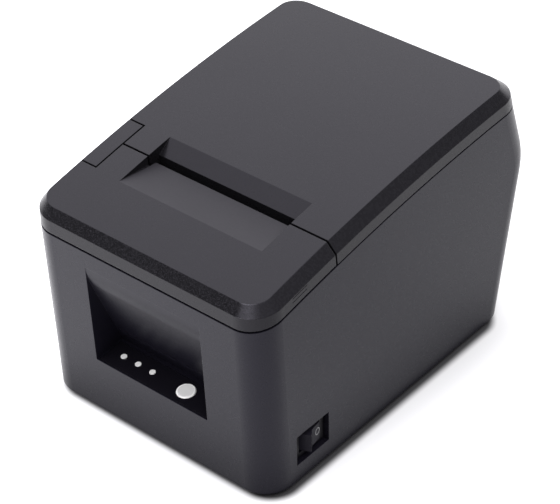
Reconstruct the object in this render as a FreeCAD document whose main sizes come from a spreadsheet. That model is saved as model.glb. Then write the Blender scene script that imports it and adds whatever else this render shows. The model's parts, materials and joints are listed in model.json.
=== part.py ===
"""Thermal receipt printer for 80 mm paper, with a hinged paper lid and a cutter.

Depths run back from the front face, heights run up from the underside of the case and x runs
to the right from the middle of the case. The origin is under the middle, on the ground.
"""
import FreeCAD
import Part
import Sketcher
import math
import os
import re

# Sizes in millimetres and degrees
SIZES = {
    # Lower case
    "case_width": 141.0,
    "case_wall": 2.5,
    "corner_radius": 15.0,
    "origin_depth": 102.42,
    "foot_height": 1.5,
    "foot_radius": 7.0,
    "foot_recess": 0.8,
    "front_lean": 3.9,
    "front_height": 97.5,
    "waist_depth": 206.3,
    "waist_height": 88.2,
    "waist_radius": 40.0,
    "heel_depth": 189.2,
    "lid_depth": 195.6,
    "arch_radius": 1028.0,
    "arch_crest_depth": 222.5,
    "arch_crest_height": 121.86,
    "seam_gap": 0.6,
    "lip_width": 1.2,
    "base_edge": 1.0,
    # Base plate and its screws, placed in from the sides of the case
    "base_thick": 2.5,
    "base_clear": 0.3,
    "post_radius": 4.0,
    "post_x": 12.0,
    "post_front": 16.0,
    "post_rear": 168.0,
    "post_top": 30.0,
    "screw_radius": 1.25,
    "screw_head": 2.8,
    "screw_sink": 1.6,
    # Covers
    "cover_wall": 2.5,
    "band_height": 6.45,
    "bevel_height": 5.45,
    "bevel_inset": 4.65,
    "bevel_ease": 0.8,
    "split_depth": 52.05,
    "split_gap": 1.1,
    "lid_lift": 0.3,
    "cover_lift": 0.6,
    "pry_front": 22.0,
    "pry_rear": 32.0,
    "pry_rise": 3.2,
    "pry_pitch": 2.1,
    "pry_width": 0.4,
    "pry_sink": 0.6,
    # Lid hinge
    "hinge_inset": 3.4,
    "hinge_rise": 4.0,
    "hinge_pin_radius": 1.5,
    "hinge_pin_length": 18.0,
    "barrel_half": 56.0,
    "ear_x": 44.0,
    "ear_width": 8.0,
    "ear_radius": 3.0,
    "ear_gap": 0.35,
    "running_gap": 0.05,
    # Paper exit
    "exit_centre": 2.25,
    "exit_width": 85.6,
    "exit_wall": 2.0,
    "ramp_start": 31.75,
    "ramp_end": 55.35,
    "ramp_drop": 6.0,
    "lip_start": 66.75,
    "lip_end": 58.95,
    "lip_drop": 4.7,
    "lip_foot": 106.4,
    # Lid release button and its leg, placed in from the left side of the case
    "button_front": 32.75,
    "button_rear": 66.75,
    "button_edge": 14.35,
    "button_gap": 0.9,
    "button_wall": 2.0,
    "button_skirt": 3.4,
    "guard_rise": 3.2,
    "leg_front": 37.0,
    "leg_thick": 3.0,
    "leg_x": 9.0,
    "leg_width": 5.0,
    # Front niche and its panel
    "niche_centre": 0.0,
    "niche_width": 69.6,
    "niche_depth": 20.3,
    "niche_top": 82.5,
    "niche_blend": 30.0,
    "shelf_front": 2.6,
    "shelf_height": 32.1,
    "shelf_tilt": 5.57,
    "panel_thick": 1.0,
    "panel_rim": 0.8,
    "panel_depth": 15.0,
    "panel_clear": 0.2,
    "lens_radius": 1.55,
    "lens_first": -25.3,
    "lens_pitch": 9.15,
    "lens_depth": 8.7,
    "feed_x": 14.3,
    "feed_depth": 8.5,
    "feed_radius": 4.75,
    "feed_rise": 0.5,
    "feed_rim": 0.9,
    "feed_dish": 0.25,
    "feed_travel": 0.6,
    "panel_drop": 13.0,
    "board_thick": 1.6,
    # Power switch
    "switch_depth": 34.6,
    "switch_height": 18.6,
    "recess_length": 23.0,
    "recess_height": 17.0,
    "recess_sink": 2.5,
    "flange_length": 21.0,
    "flange_height": 15.0,
    "flange_thick": 2.0,
    "switch_length": 19.0,
    "switch_tall": 13.0,
    "switch_reach": 15.5,
    "rocker_half": 5.0,
    "rocker_bay": 14.6,
    "rocker_pivot": 4.5,
    "rocker_pin": 1.2,
    # Rear connector recess
    "bay_left": -45.0,
    "bay_right": 33.0,
    "bay_bottom": 7.0,
    "bay_top": 36.0,
    "bay_floor": 181.0,
    "usb_x": -30.0,
    "drawer_x": -5.0,
    "power_x": 20.0,
    "board_height": 8.0,
    "board_front": 84.0,
    "board_rear": 177.0,
    # Paper bucket, its roll and front edge placed behind the platen
    "roll_width": 82.0,
    "roll_radius": 42.0,
    "roll_depth": 55.0,
    "roll_height": 72.0,
    "bucket_wall": 2.0,
    "deck_height": 96.0,
    "deck_front": 10.5,
    "deck_rear": 183.0,
    "deck_clear": 0.3,
    "paper_sill": 80.0,
    # Mechanism frame, its rear edge placed behind the platen
    "frame_half": 46.0,
    "sheet_thick": 1.5,
    "frame_front": 24.0,
    "frame_rear": 10.0,
    "frame_bottom": 46.0,
    "frame_top": 103.0,
    # Platen, with its bracket above it, between the exit lip and a place behind the platen
    "platen_depth": 66.0,
    "platen_height": 95.0,
    "platen_radius": 6.0,
    "platen_shaft_radius": 2.5,
    "bush_radius": 4.0,
    "bracket_gap": 1.0,
    "bracket_height": 11.0,
    "bracket_front": 0.4,
    "bracket_rear": 10.0,
    # Print head, in its own tilted frame
    "head_tilt": 30.0,
    "head_clear": 0.3,
    "head_thick": 1.0,
    "sink_thick": 4.0,
    "head_rise": 5.0,
    "head_fall": 12.0,
    "head_pivot_fall": 10.0,
    "head_pin": 1.5,
    "head_spring_length": 8.0,
    "head_spring_x": 25.0,
    "spring_leaf": 0.4,
    "spring_width": 8.0,
    "spring_rise": 4.4,
    "spring_reach": 6.4,
    # Gears
    "gear_module": 0.7,
    "gear_width": 4.0,
    "gear_x": 53.5,
    "mesh_play": 0.12,
    "idler_bearing": 14.0,
    "motor_bearing": 40.0,
    "idler_pin": 2.0,
    "motor_radius": 14.0,
    "motor_length": 14.0,
    "motor_shaft": 1.0,
    # Cutter, its height taken down from the end of the exit ramp
    "blade_height": 10.15,
    "blade_thick": 0.8,
    "blade_front": 26.0,
    "blade_edge": 51.5,
    "blade_vee": 2.5,
    "blade_half": 43.0,
    "cutter_depth": 38.0,
    "cutter_bearing": 37.0,
    "cutter_motor_radius": 8.0,
    "cutter_motor_length": 28.0,
    "cutter_shaft_radius": 2.0,
    "rack_thick": 2.7,
    "rack_width": 3.0,
    "rack_front": 27.0,
    "rack_rear": 47.0,
    # Latch, placed in front of the platen
    "latch_depth": 16.0,
    "latch_height": 79.0,
    "latch_pin": 2.0,
    "hook_gap": 0.5,
}
# Tooth counts
PLATEN_TEETH = 20
IDLER_TEETH = 34
FEED_TEETH = 12
CUTTER_TEETH = 26
CUTTER_PINION_TEETH = 12
RACK_PINION_TEETH = 12
PRESSURE_ANGLE = math.radians(20)
FAR = "300"

Vector = FreeCAD.Vector
doc = FreeCAD.newDocument("receipt_printer")
sheet = doc.addObject("Spreadsheet::Sheet", "sizes")
nodes = []


def fill_sheet():
    for row, (alias, value) in enumerate(SIZES.items(), 1):
        sheet.set(f"A{row}", alias)
        sheet.set(f"B{row}", str(value))
        sheet.setAlias(f"B{row}", alias)
    doc.recompute()


def formula(text):
    """The text with each size's name pointing at its cell."""
    return re.sub(r"[a-z_]+", lambda m: "sizes." + m[0] if m[0] in SIZES else m[0], str(text))


def value(text):
    number = sheet.evalExpression(formula(text))
    return float(getattr(number, "Value", number))


def bind(thing, **settings):
    for name, text in settings.items():
        thing.setExpression(name.replace("__", "."), formula(text))


def from_front(text):
    return f"({text}) - origin_depth"


def from_bottom(text):
    return f"({text}) + foot_height"


def node(name, thing):
    thing.Label = name
    nodes.append(thing)
    return thing


# Shapes that the sub-parts are put together from


def box(x, y, z, placed=True):
    """A box between (low, high) pairs."""
    thing = doc.addObject("Part::Box", "block")
    bind(thing, Length=f"({x[1]}) - ({x[0]})", Width=f"({y[1]}) - ({y[0]})", Height=f"({z[1]}) - ({z[0]})")
    bind(thing, Placement__Base__x=x[0])
    bind(thing, Placement__Base__y=from_front(y[0]) if placed else y[0])
    bind(thing, Placement__Base__z=from_bottom(z[0]) if placed else z[0])
    return thing


AXES = {
    "x": FreeCAD.Rotation(Vector(0, 1, 0), 90),
    "y": FreeCAD.Rotation(Vector(1, 0, 0), -90),
    "z": FreeCAD.Rotation(),
}


def rod(axis, radius, start, length, at, placed=True):
    """A cylinder along an axis, from start; at holds the other two coordinates in order."""
    thing = doc.addObject("Part::Cylinder", "rod")
    thing.Placement = FreeCAD.Placement(Vector(), AXES[axis])
    bind(thing, Radius=radius, Height=length)
    place = list(at)
    place.insert("xyz".index(axis), start)
    bind(thing, Placement__Base__x=place[0])
    bind(thing, Placement__Base__y=from_front(place[1]) if placed else place[1])
    bind(thing, Placement__Base__z=from_bottom(place[2]) if placed else place[2])
    return thing


def fuse(*things):
    if len(things) == 1:
        return things[0]
    thing = doc.addObject("Part::MultiFuse", "fusion")
    thing.Shapes = list(things)
    thing.Refine = True
    return thing


def cut(base, *tools):
    thing = doc.addObject("Part::Cut", "cut")
    thing.Base = base
    thing.Tool = fuse(*tools)
    thing.Refine = True
    return thing


def common(*things):
    thing = doc.addObject("Part::MultiCommon", "common")
    thing.Shapes = list(things)
    return thing


def group(*things):
    """Separate solids that share one node."""
    thing = doc.addObject("Part::Compound", "group")
    thing.Links = list(things)
    return thing


def tilt(thing, depth, height, angle):
    """Turns a piece about the x axis and puts its own zero at a depth and height."""
    holder = group(thing)
    holder.Placement = FreeCAD.Placement(Vector(), FreeCAD.Rotation(Vector(1, 0, 0), 1))
    bind(holder, Placement__Base__y=from_front(depth), Placement__Base__z=from_bottom(height))
    bind(holder, Placement__Rotation__Angle=angle)
    return holder


def arc_through(start, end, radius, side):
    """The short arc between two points, its centre to the left (1) or right (-1) of the way."""
    middle = (start + end) * 0.5
    way = end - start
    rise = math.sqrt(max(radius**2 - (way.Length / 2) ** 2, 0.0))
    left = Vector(-way.y, way.x, 0).normalize()
    centre = middle + left * (rise * side)
    first, last = (start, end) if side > 0 else (end, start)
    angles = [math.atan2(p.y - centre.y, p.x - centre.x) for p in (first, last)]
    if angles[1] < angles[0]:
        angles[1] += 2 * math.pi
    return Part.ArcOfCircle(Part.Circle(centre, Vector(0, 0, 1), radius), *angles)


def sketch(body, plane, corners, arcs, offset):
    """A closed outline through corners; arcs maps a side's number to (radius, side of centre)."""
    drawing = body.newObject("Sketcher::SketchObject", "outline")
    support = next(f for f in body.Origin.OriginFeatures if f.Role == plane + "_Plane")
    drawing.AttachmentSupport = [(support, "")]
    drawing.MapMode = "FlatFace"
    bind(drawing, AttachmentOffset__Base__z=offset)
    points = [Vector(value(u), value(v), 0) for u, v in corners]
    ends = []
    for side, start in enumerate(points):
        end = points[(side + 1) % len(points)]
        if side in arcs:
            radius, centre_side = arcs[side]
            drawing.addGeometry(arc_through(start, end, value(radius), centre_side))
            ends.append((1, 2) if centre_side > 0 else (2, 1))
            mark = drawing.addConstraint(Sketcher.Constraint("Radius", side, value(radius)))
            drawing.setExpression(f"Constraints[{mark}]", formula(radius))
        else:
            drawing.addGeometry(Part.LineSegment(start, end))
            ends.append((1, 2))
    for side in range(len(points)):
        after = (side + 1) % len(points)
        drawing.addConstraint(Sketcher.Constraint("Coincident", side, ends[side][1], after, ends[after][0]))
    for side, (u, v) in enumerate(corners):
        for kind, text, number in (("DistanceX", u, points[side].x), ("DistanceY", v, points[side].y)):
            rule = Sketcher.Constraint(kind, -1, 1, side, ends[side][0], number)
            mark = drawing.addConstraint(rule)
            drawing.setExpression(f"Constraints[{mark}]", formula(text))
    return drawing


def prism(plane, corners, start, length, arcs={}, placed=True):
    """A body padded from an outline; in a YZ outline the corners are (depth, height) pairs."""
    body = doc.addObject("PartDesign::Body", "prism")
    if plane == "YZ" and placed:
        corners = [(from_front(u), from_bottom(v)) for u, v in corners]
    if plane == "XY" and placed:
        corners = [(u, from_front(v)) for u, v in corners]
        start = from_bottom(start)
    pad = body.newObject("PartDesign::Pad", "pad")
    pad.Profile = sketch(body, plane, corners, arcs, start)
    bind(pad, Length=length)
    body.Tip = pad
    doc.recompute()
    return body


def dress(body, kind, pick, **sizes):
    """Adds a fillet or chamfer to the edges that pick chooses."""
    base = body.Tip
    names = [f"Edge{i}" for i, edge in enumerate(base.Shape.Edges, 1) if pick(edge)]
    feature = body.newObject("PartDesign::" + kind, kind.lower())
    feature.Base = (base, names)
    if "Size2" in sizes:
        feature.ChamferType = "Two distances"
    bind(feature, **sizes)
    body.Tip = feature
    doc.recompute()
    return feature


def edge_middle(edge):
    return edge.valueAt((edge.FirstParameter + edge.LastParameter) / 2)


# Outer forms shared by the case and its covers


def arch(depth):
    """Height of the seam between case and covers at a depth."""
    rise = f"sqrt(arch_radius^2 - (({depth}) - arch_crest_depth)^2)"
    return f"arch_crest_height - arch_radius + {rise}"


def front_at(height):
    return f"front_lean * (1 - ({height}) / front_height)"


def heel_at(height):
    return f"heel_depth + (waist_depth - heel_depth) * ({height}) / waist_height"


# Forward lean of the shoulder and of the lid's rear wall above it
LEAN = f"((waist_depth - lid_depth) / ({arch('lid_depth')} - waist_height))"
LEAN_ANGLE = f"atan({LEAN})"


def shoulder_at(height):
    return f"waist_depth - {LEAN} * (({height}) - waist_height)"


HINGE_DEPTH = f"lid_depth - {LEAN} * hinge_rise - hinge_inset / cos({LEAN_ANGLE})"
HINGE_HEIGHT = f"{arch('lid_depth')} + hinge_rise"
TOP_RISE = "band_height + bevel_height"
HULL_TOP = "arch_crest_height + 7"
# Places that follow another size
POST_X = "(case_width / 2 - post_x)"
BUTTON_EDGE = "(case_width / 2 - button_edge)"
LEG_X = "(case_width / 2 - leg_x)"
ROLL_DEPTH = "(platen_depth + roll_depth)"
DECK_FRONT = "(platen_depth + deck_front)"
FRAME_REAR = "(platen_depth + frame_rear)"
BRACKET_FRONT = "(lip_end + 1.2 * exit_wall + bracket_front)"
BRACKET_REAR = "(platen_depth + bracket_rear)"
BRACKET_HEIGHT = "(platen_height + bracket_height)"
RAMP_LOW = f"({arch('ramp_end')} + {TOP_RISE} - ramp_drop)"
BLADE_HEIGHT = f"({RAMP_LOW} - blade_height)"


def round_corners(body, half, inset):
    """Rounds the upright corner edges, which lie in the two side faces."""
    side = value(half)
    reach = [body.Shape.BoundBox.YMin + 6, value(from_front("lid_depth")) - value(inset) - 8]

    def upright(edge):
        ends = [v.Point for v in edge.Vertexes]
        in_side = all(abs(abs(p.x) - side) < 0.01 for p in ends) and abs(ends[0].x - ends[1].x) < 0.01
        return in_side and (all(p.y < reach[0] for p in ends) or all(p.y > reach[1] for p in ends))

    dress(body, "Fillet", upright, Radius=f"corner_radius - ({inset})")


def case_hull(inset, floor, shift=None, top=None):
    """The case's outer form drawn in by inset, under the arch (moved by shift) or a flat top."""
    low_front = f"{front_at(floor)} + ({inset})"
    low_rear = f"{heel_at(floor)} - ({inset})"
    waist = ("waist_depth - (" + inset + ")", "waist_height")
    if top is None:
        front_top = (inset, f"{arch(inset)} + ({shift})")
        rear = f"lid_depth - ({inset})"
        rear_top = (rear, f"{arch(rear)} + ({shift})")
    else:
        front_top = (f"{front_at(top)} + ({inset})", top)
        rear_top = (f"{shoulder_at(top)} - ({inset})", top)
    corners = [(low_front, floor), (low_rear, floor), waist, rear_top, front_top]
    arcs = {} if top else {3: ("arch_radius", 1)}
    half = f"case_width / 2 - ({inset})"
    body = prism("YZ", corners, f"-({half})", f"2 * ({half})", arcs)
    waist_point = value(from_front(waist[0])), value(from_bottom(waist[1]))

    def at_waist(edge):
        middle = edge_middle(edge)
        return math.hypot(middle.y - waist_point[0], middle.z - waist_point[1]) < 0.01

    dress(body, "Fillet", at_waist, Radius=f"waist_radius - ({inset})")
    round_corners(body, half, inset)
    return body


def cover_block(front, inset, low_shift, top_shift):
    """A slab between two arches with rounded corners, its rear wall leaning."""
    rear_low, rear_top = (f"lid_depth - ({inset}) - {LEAN} * ({shift})" for shift in (low_shift, top_shift))
    corners = [
        (front, f"{arch(front)} + ({low_shift})"),
        (rear_low, f"{arch(rear_low)} + ({low_shift})"),
        (rear_top, f"{arch(rear_top)} + ({top_shift})"),
        (front, f"{arch(front)} + ({top_shift})"),
    ]
    half = f"case_width / 2 - ({inset})"
    arcs = {0: ("arch_radius", -1), 2: ("arch_radius", 1)}
    body = prism("YZ", corners, f"-({half})", f"2 * ({half})", arcs)
    round_corners(body, half, inset)
    return body


def cover_hull(inset, low_shift, top_shift):
    """The form above the seam: a band, then a bevel up to the arched top, narrower at the front."""
    body = cover_block(f"({inset}) - bevel_ease", inset, low_shift, top_shift)
    broad = sorted(body.Shape.Faces, key=lambda face: face.Area)[-2:]
    top_face = max(broad, key=lambda face: face.CenterOfMass.z)
    rim = [edge_middle(edge) for edge in top_face.Edges]

    def on_rim(edge):
        return any(edge_middle(edge).distanceToPoint(point) < 0.001 for point in rim)

    dress(body, "Chamfer", on_rim, Size="bevel_height", Size2="bevel_inset")
    return common(body, cover_block(inset, inset, low_shift, top_shift))


fill_sheet()

# Base


def corner_posts(radius, low, high):
    """Four upright rods at the base screws' places."""
    spots = [(f"{sign} * {POST_X}", depth) for sign in (-1, 1) for depth in ("post_front", "post_rear")]
    return [rod("z", radius, low, f"({high}) - ({low})", spot) for spot in spots]


def foot_pads(radius, low, high):
    """Four upright rods at the feet's places, inside the screws."""
    spots = [
        (f"{sign} * ({POST_X} - foot_radius)", depth)
        for sign in (-1, 1)
        for depth in ("post_front + 2.5 * foot_radius", "post_rear - 2.5 * foot_radius")
    ]
    return [rod("z", radius, low, f"({high}) - ({low})", spot) for spot in spots]


FRAME_LEFT = "exit_centre - frame_half"
FRAME_RIGHT = "exit_centre + frame_half"
FRAME_POST_SPOTS = [
    (f"{side} - {sign} * 3 * post_radius", f"{edge} + {step} * 2 * post_radius")
    for side, sign in ((FRAME_LEFT, -1), (FRAME_RIGHT, 1))
    for edge, step in (("frame_front", 1), (FRAME_REAR, -1))
]
BOARD_LEFT = "bay_left - 7"
BOARD_RIGHT = "bay_right + 7"
BOARD_SPOTS = [
    (f"{side} + {sign} * post_radius", f"{edge} + {step} * post_radius")
    for side, sign in ((BOARD_LEFT, 1), (BOARD_RIGHT, -1))
    for edge, step in (("board_front", 1), ("board_rear", -8))
]


def base_plate():
    plate = common(
        case_hull("case_wall + base_clear", "0", top=HULL_TOP),
        box((f"-{FAR}", FAR), (f"-{FAR}", FAR), ("0", "base_thick")),
    )
    stand = [rod("z", "post_radius", "0", "frame_bottom", spot) for spot in FRAME_POST_SPOTS]
    stand += [rod("z", "post_radius - 1", "0", "board_height", spot) for spot in BOARD_SPOTS]
    holes = corner_posts("screw_radius + 0.1", "-1", "base_thick + 1")
    sinks = corner_posts("screw_head + 0.3", "-1", "screw_sink")
    seats = foot_pads("foot_radius + 0.2", "-1", "foot_recess")
    vents = [
        box((f"{x} - 1.5", f"{x} + 1.5"), ("80", "120"), ("-1", "base_thick + 1"))
        for x in (f"{step} * 8" for step in range(-3, 4))
    ]
    node("base_plate", cut(fuse(plate, *stand), *holes, *sinks, *seats, *vents))
    node("rubber_feet", group(*foot_pads("foot_radius", "-foot_height", "foot_recess")))
    heads = corner_posts("screw_head", "screw_sink - 1.2", "screw_sink")
    shanks = corner_posts("screw_radius", "screw_sink", "post_top - 10")
    node("base_screws", group(*(fuse(head, shank) for head, shank in zip(heads, shanks))))


# Lower case


def shelf_at(depth):
    return f"shelf_height + tan(shelf_tilt) * (({depth}) - shelf_front)"


def niche_forms():
    """The hollow of the niche and the wall block behind it."""
    corner = (front_at("niche_top"), "niche_top")
    back = ("niche_depth", shelf_at("niche_depth"))
    face_angle = "atan(front_lean / front_height)"
    wall_angle = f"atan(({back[0]} - {corner[0]}) / ({corner[1]} - ({back[1]})))"
    run = f"niche_blend * tan(({wall_angle} - {face_angle}) / 2)"
    blend_low = (f"{corner[0]} + {run} * sin({wall_angle})", f"{corner[1]} - {run} * cos({wall_angle})")
    blend_high = (f"{corner[0]} - {run} * sin({face_angle})", f"{corner[1]} + {run} * cos({face_angle})")
    corners = [("-5", shelf_at("-5")), back, blend_low, blend_high, ("-5", blend_high[1])]
    left = "niche_centre - niche_width / 2"
    hollow = prism("YZ", corners, left, "niche_width", {2: ("niche_blend", -1)})
    wall = "case_wall"
    under = f"{shelf_at('shelf_front')} - 1.2 * {wall} - panel_thick"
    high = f"niche_top + 3 * {wall}"
    corners = [
        (f"{front_at(under)} + 1", under),
        (f"niche_depth + 1.1 * {wall}", f"{under} + niche_depth * tan(shelf_tilt)"),
        (f"{corner[0]} + 1.1 * {wall}", "niche_top"),
        (f"{front_at(high)} + 1", high),
    ]
    block = prism("YZ", corners, f"{left} - {wall}", f"niche_width + 2 * {wall}")
    return hollow, block


def on_shelf(thing):
    return tilt(thing, "shelf_front", "shelf_height", "shelf_tilt")


LENS_NAMES = ("error_lens", "paper_lens", "power_lens")
LENS_SPOTS = [(f"lens_first + {i} * lens_pitch", "lens_depth") for i in range(len(LENS_NAMES))]
PANEL_LEFT = "niche_centre - niche_width / 2 + panel_rim"
PANEL_RIGHT = "niche_centre + niche_width / 2 - panel_rim"
BOARD_POST_SPOTS = [(f"{PANEL_LEFT} + 4", "panel_depth - 2"), (f"{PANEL_RIGHT} - 4", "panel_depth - 2")]


def switch_box(length, height, x):
    middle, level = "switch_depth", "switch_height"
    y = (f"{middle} - ({length}) / 2", f"{middle} + ({length}) / 2")
    return box(x, y, (f"{level} - ({height}) / 2", f"{level} + ({height}) / 2"))


RIGHT = "case_width / 2"
RECESS_FLOOR = f"{RIGHT} - recess_sink - flange_thick"
SOCKETS = {
    "usb": ("usb_x", "12", "11"),
    "drawer": ("drawer_x", "14", "13"),
    "power": ("power_x", "10", "11"),
}


def socket_box(name, y, grow="0"):
    x, width, height = SOCKETS[name]
    floor = "board_height + board_thick"
    sides = (f"{x} - {width} / 2 - {grow}", f"{x} + {width} / 2 + {grow}")
    return box(sides, y, (f"{floor} - {grow}", f"{floor} + {height} + {grow}"))


def hinge_ear(sign):
    x = f"{sign} * ear_x - ear_width / 2"
    foot = "deck_height + 8"
    knee = "deck_height + 22"
    corners = [
        (f"{HINGE_DEPTH} - ear_radius", foot),
        (f"{shoulder_at(foot)} - 1", foot),
        (f"{shoulder_at(knee)} - 1", knee),
        (f"{HINGE_DEPTH} + ear_radius", f"{knee} + 2"),
        (f"{HINGE_DEPTH} + ear_radius", HINGE_HEIGHT),
        (f"{HINGE_DEPTH} - ear_radius", HINGE_HEIGHT),
    ]
    arm = prism("YZ", corners, x, "ear_width")
    return [arm, rod("x", "ear_radius", x, "ear_width", (HINGE_DEPTH, HINGE_HEIGHT))]


def main_case():
    outer = case_hull("0", "0", shift="-seam_gap")
    under = min(outer.Shape.Faces, key=lambda face: face.CenterOfMass.z)
    rim = [edge_middle(edge) for edge in under.Edges]

    def on_rim(edge):
        return any(edge_middle(edge).distanceToPoint(point) < 0.001 for point in rim)

    dress(outer, "Fillet", on_rim, Radius="base_edge")
    lip = case_hull("lip_width", "post_top", shift="0")
    cavity = case_hull("case_wall", "-base_edge", top=HULL_TOP)
    shell = cut(fuse(outer, lip), cavity)
    niche, niche_block = niche_forms()
    inner = f"{RIGHT} - case_wall"
    boss = switch_box("recess_length + 2 * case_wall", "recess_height + 2 * case_wall",
                      (f"{RECESS_FLOOR} - 2", f"{RIGHT} - 1"))
    low, high = "bay_bottom - case_wall", "bay_top + case_wall"
    bay_back = "bay_floor - case_wall"
    corners = [
        (bay_back, low),
        (f"{heel_at(low)} - 1", low),
        (f"{heel_at(high)} - 1", high),
        (bay_back, high),
    ]
    bay_block = prism("YZ", corners, "bay_left - case_wall", "bay_right - bay_left + 2 * case_wall")
    posts = corner_posts("post_radius", "base_thick", "post_top")
    ribs = [
        box((low_x, high_x), (f"{depth} - 1", f"{depth} + 1"), ("base_thick", "post_top"))
        for depth in ("post_front", "post_rear")
        for low_x, high_x in ((f"-{RIGHT} + 1", f"-{POST_X}"), (POST_X, f"{RIGHT} - 1"))
    ]
    ledges = [
        box((low_x, high_x), (f"{depth} - 6", f"{depth} + 6"), ("deck_height - 6", "deck_height"))
        for depth in (f"{DECK_FRONT} + 14", "deck_rear - 14")
        for low_x, high_x in ((f"-{RIGHT} + 1", f"-{RIGHT} + 9"), (f"{RIGHT} - 9", f"{RIGHT} - 1"))
    ]
    ears = hinge_ear(-1) + hinge_ear(1)
    seam = f"{HINGE_HEIGHT} - hinge_rise"
    sill = box(("-barrel_half", "barrel_half"), (f"{HINGE_DEPTH} - hinge_inset", "lid_depth - lip_width"),
               (f"{seam} - case_wall", seam))
    guard_x = (f"-({inner}) + 1.3", f"-({inner}) + 3.3")
    guard_y = ("button_front + 1.5 * button_wall", "button_rear - 1.5 * button_wall")
    guard = common(
        box(guard_x, guard_y, ("deck_height - 11", HULL_TOP)),
        case_hull("0", "0", shift="guard_rise"),
    )
    guard_tie = box((f"-{RIGHT} + 1", guard_x[1]), guard_y, ("deck_height - 13", "deck_height - 10"))
    board_posts = [
        on_shelf(rod("z", "2.5", "-panel_drop", "panel_drop - panel_thick - 1", spot, placed=False))
        for spot in BOARD_POST_SPOTS
    ]
    panel_seat = on_shelf(box((PANEL_LEFT, PANEL_RIGHT), ("panel_rim", "panel_rim + panel_depth"),
                              ("-panel_thick", "9"), placed=False))
    lens_holes = [
        on_shelf(rod("z", "lens_radius + 0.1", "-9", "20", spot, placed=False)) for spot in LENS_SPOTS
    ]
    feed_hole = on_shelf(rod("z", "feed_radius + 0.2", "-9", "20", ("feed_x", "feed_depth"), placed=False))
    recess = switch_box("recess_length", "recess_height", (RECESS_FLOOR, f"{RIGHT} + 1"))
    through = (f"{RECESS_FLOOR} - 9", f"{RIGHT} + 1")
    switch_hole = switch_box("switch_length + 0.4", "switch_tall + 0.4", through)
    bay = box(("bay_left", "bay_right"), ("bay_floor", FAR), ("bay_bottom", "bay_top"))
    ports = [socket_box(name, ("bay_floor - 9", "bay_floor + 1"), "0.3") for name in SOCKETS]
    screw_holes = corner_posts("screw_radius + 0.05", "-1", "post_top - 9")
    pin_holes = [
        rod("x", "hinge_pin_radius", f"{sign} * ear_x - hinge_pin_length / 2", "hinge_pin_length",
            (HINGE_DEPTH, HINGE_HEIGHT))
        for sign in (-1, 1)
    ]
    inside = [*posts, *ribs, *ledges, *ears, sill, guard, guard_tie, *board_posts]
    holes = [*lens_holes, feed_hole, switch_hole, *ports, *screw_holes, *pin_holes]
    body = fuse(shell, niche_block, boss, bay_block, *inside)
    node("main_case", cut(body, niche, panel_seat, recess, bay, *holes))
    pins = [
        rod("x", "hinge_pin_radius", f"{sign} * ear_x - hinge_pin_length / 2", "hinge_pin_length",
            (HINGE_DEPTH, HINGE_HEIGHT))
        for sign in (-1, 1)
    ]
    node("hinge_pins", group(*pins))


# Covers


SPLIT_RADIUS = f"{HINGE_DEPTH} - split_depth"
BUTTON_RADIUS = f"{HINGE_DEPTH} - button_rear"
EXIT_LEFT = "exit_centre - exit_width / 2"
POST_DEPTH = f"({BRACKET_REAR} - 5)"
BRACKET_SPOTS = [(f"exit_centre + {sign} * 30", POST_DEPTH) for sign in (-1, 1)]


def around_hinge(radius):
    """A drum about the hinge axis: the covers part along it, so the lid swings clear."""
    return rod("x", radius, "-case_width", "2 * case_width", (HINGE_DEPTH, HINGE_HEIGHT))


def top_at(depth):
    return f"{arch(depth)} + {TOP_RISE}"


def exit_prism(corners, grow):
    return prism("YZ", corners, f"{EXIT_LEFT} - ({grow})", f"exit_width + 2 * ({grow})")


def pry_mark(rise):
    """A fine engraved line on the right of the band, a little above the seam."""
    corners = [
        ("pry_front", f"{arch('pry_front')} + {rise}"),
        ("pry_rear", f"{arch('pry_rear')} + {rise}"),
        ("pry_rear", f"{arch('pry_rear')} + {rise} + pry_width"),
        ("pry_front", f"{arch('pry_front')} + {rise} + pry_width"),
    ]
    arcs = {0: ("arch_radius", -1), 2: ("arch_radius", 1)}
    return prism("YZ", corners, f"{RIGHT} - pry_sink", "pry_sink + 1", arcs)


def front_cover():
    hull = fuse(cover_hull("0", "cover_lift", TOP_RISE), cover_hull("lip_width", "0", TOP_RISE))
    outer = cut(hull, around_hinge(f"{SPLIT_RADIUS} + split_gap"))
    inner = cut(
        cover_hull("cover_wall", "-12", f"{TOP_RISE} - cover_wall"),
        around_hinge(f"{SPLIT_RADIUS} + split_gap + cover_wall"),
        box((f"-{FAR}", f"cover_wall - {BUTTON_EDGE}"), ("button_front - cover_wall", FAR), ("0", FAR)),
    )
    notch = box((f"-{FAR}", f"-{BUTTON_EDGE}"), ("button_front", FAR), ("0", FAR))
    fall = f"({top_at('ramp_start')} - {RAMP_LOW}) / (ramp_end - ramp_start)"
    thick = "exit_wall"
    block = common(
        exit_prism(
            [
                (f"ramp_start - 2 * {thick}", f"{top_at('ramp_start')} + 2 * {thick} * {fall} - {thick}"),
                ("ramp_end", f"{RAMP_LOW} - {thick}"),
                ("ramp_end", FAR),
                (f"ramp_start - 2 * {thick}", FAR),
            ],
            thick,
        ),
        outer,
    )
    scoop = exit_prism(
        [
            ("ramp_start", top_at("ramp_start")),
            ("ramp_end", RAMP_LOW),
            (FAR, RAMP_LOW),
            (FAR, FAR),
            ("ramp_start", FAR),
        ],
        "0",
    )
    tongue_start = "split_depth - split_gap - cover_wall"
    tongue_high = f"{RAMP_LOW} + {fall} * (ramp_end - ({tongue_start}))"
    tongue = exit_prism(
        [
            (tongue_start, f"{tongue_high} - {thick}"),
            ("ramp_end", f"{RAMP_LOW} - {thick}"),
            ("ramp_end", RAMP_LOW),
            (tongue_start, tongue_high),
        ],
        "-split_gap",
    )
    marks = [pry_mark("pry_rise"), pry_mark("pry_rise + pry_pitch")]
    shell = cut(fuse(cut(outer, inner), block), scoop)
    node("front_cover", cut(fuse(shell, tongue), notch, *marks))


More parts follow.
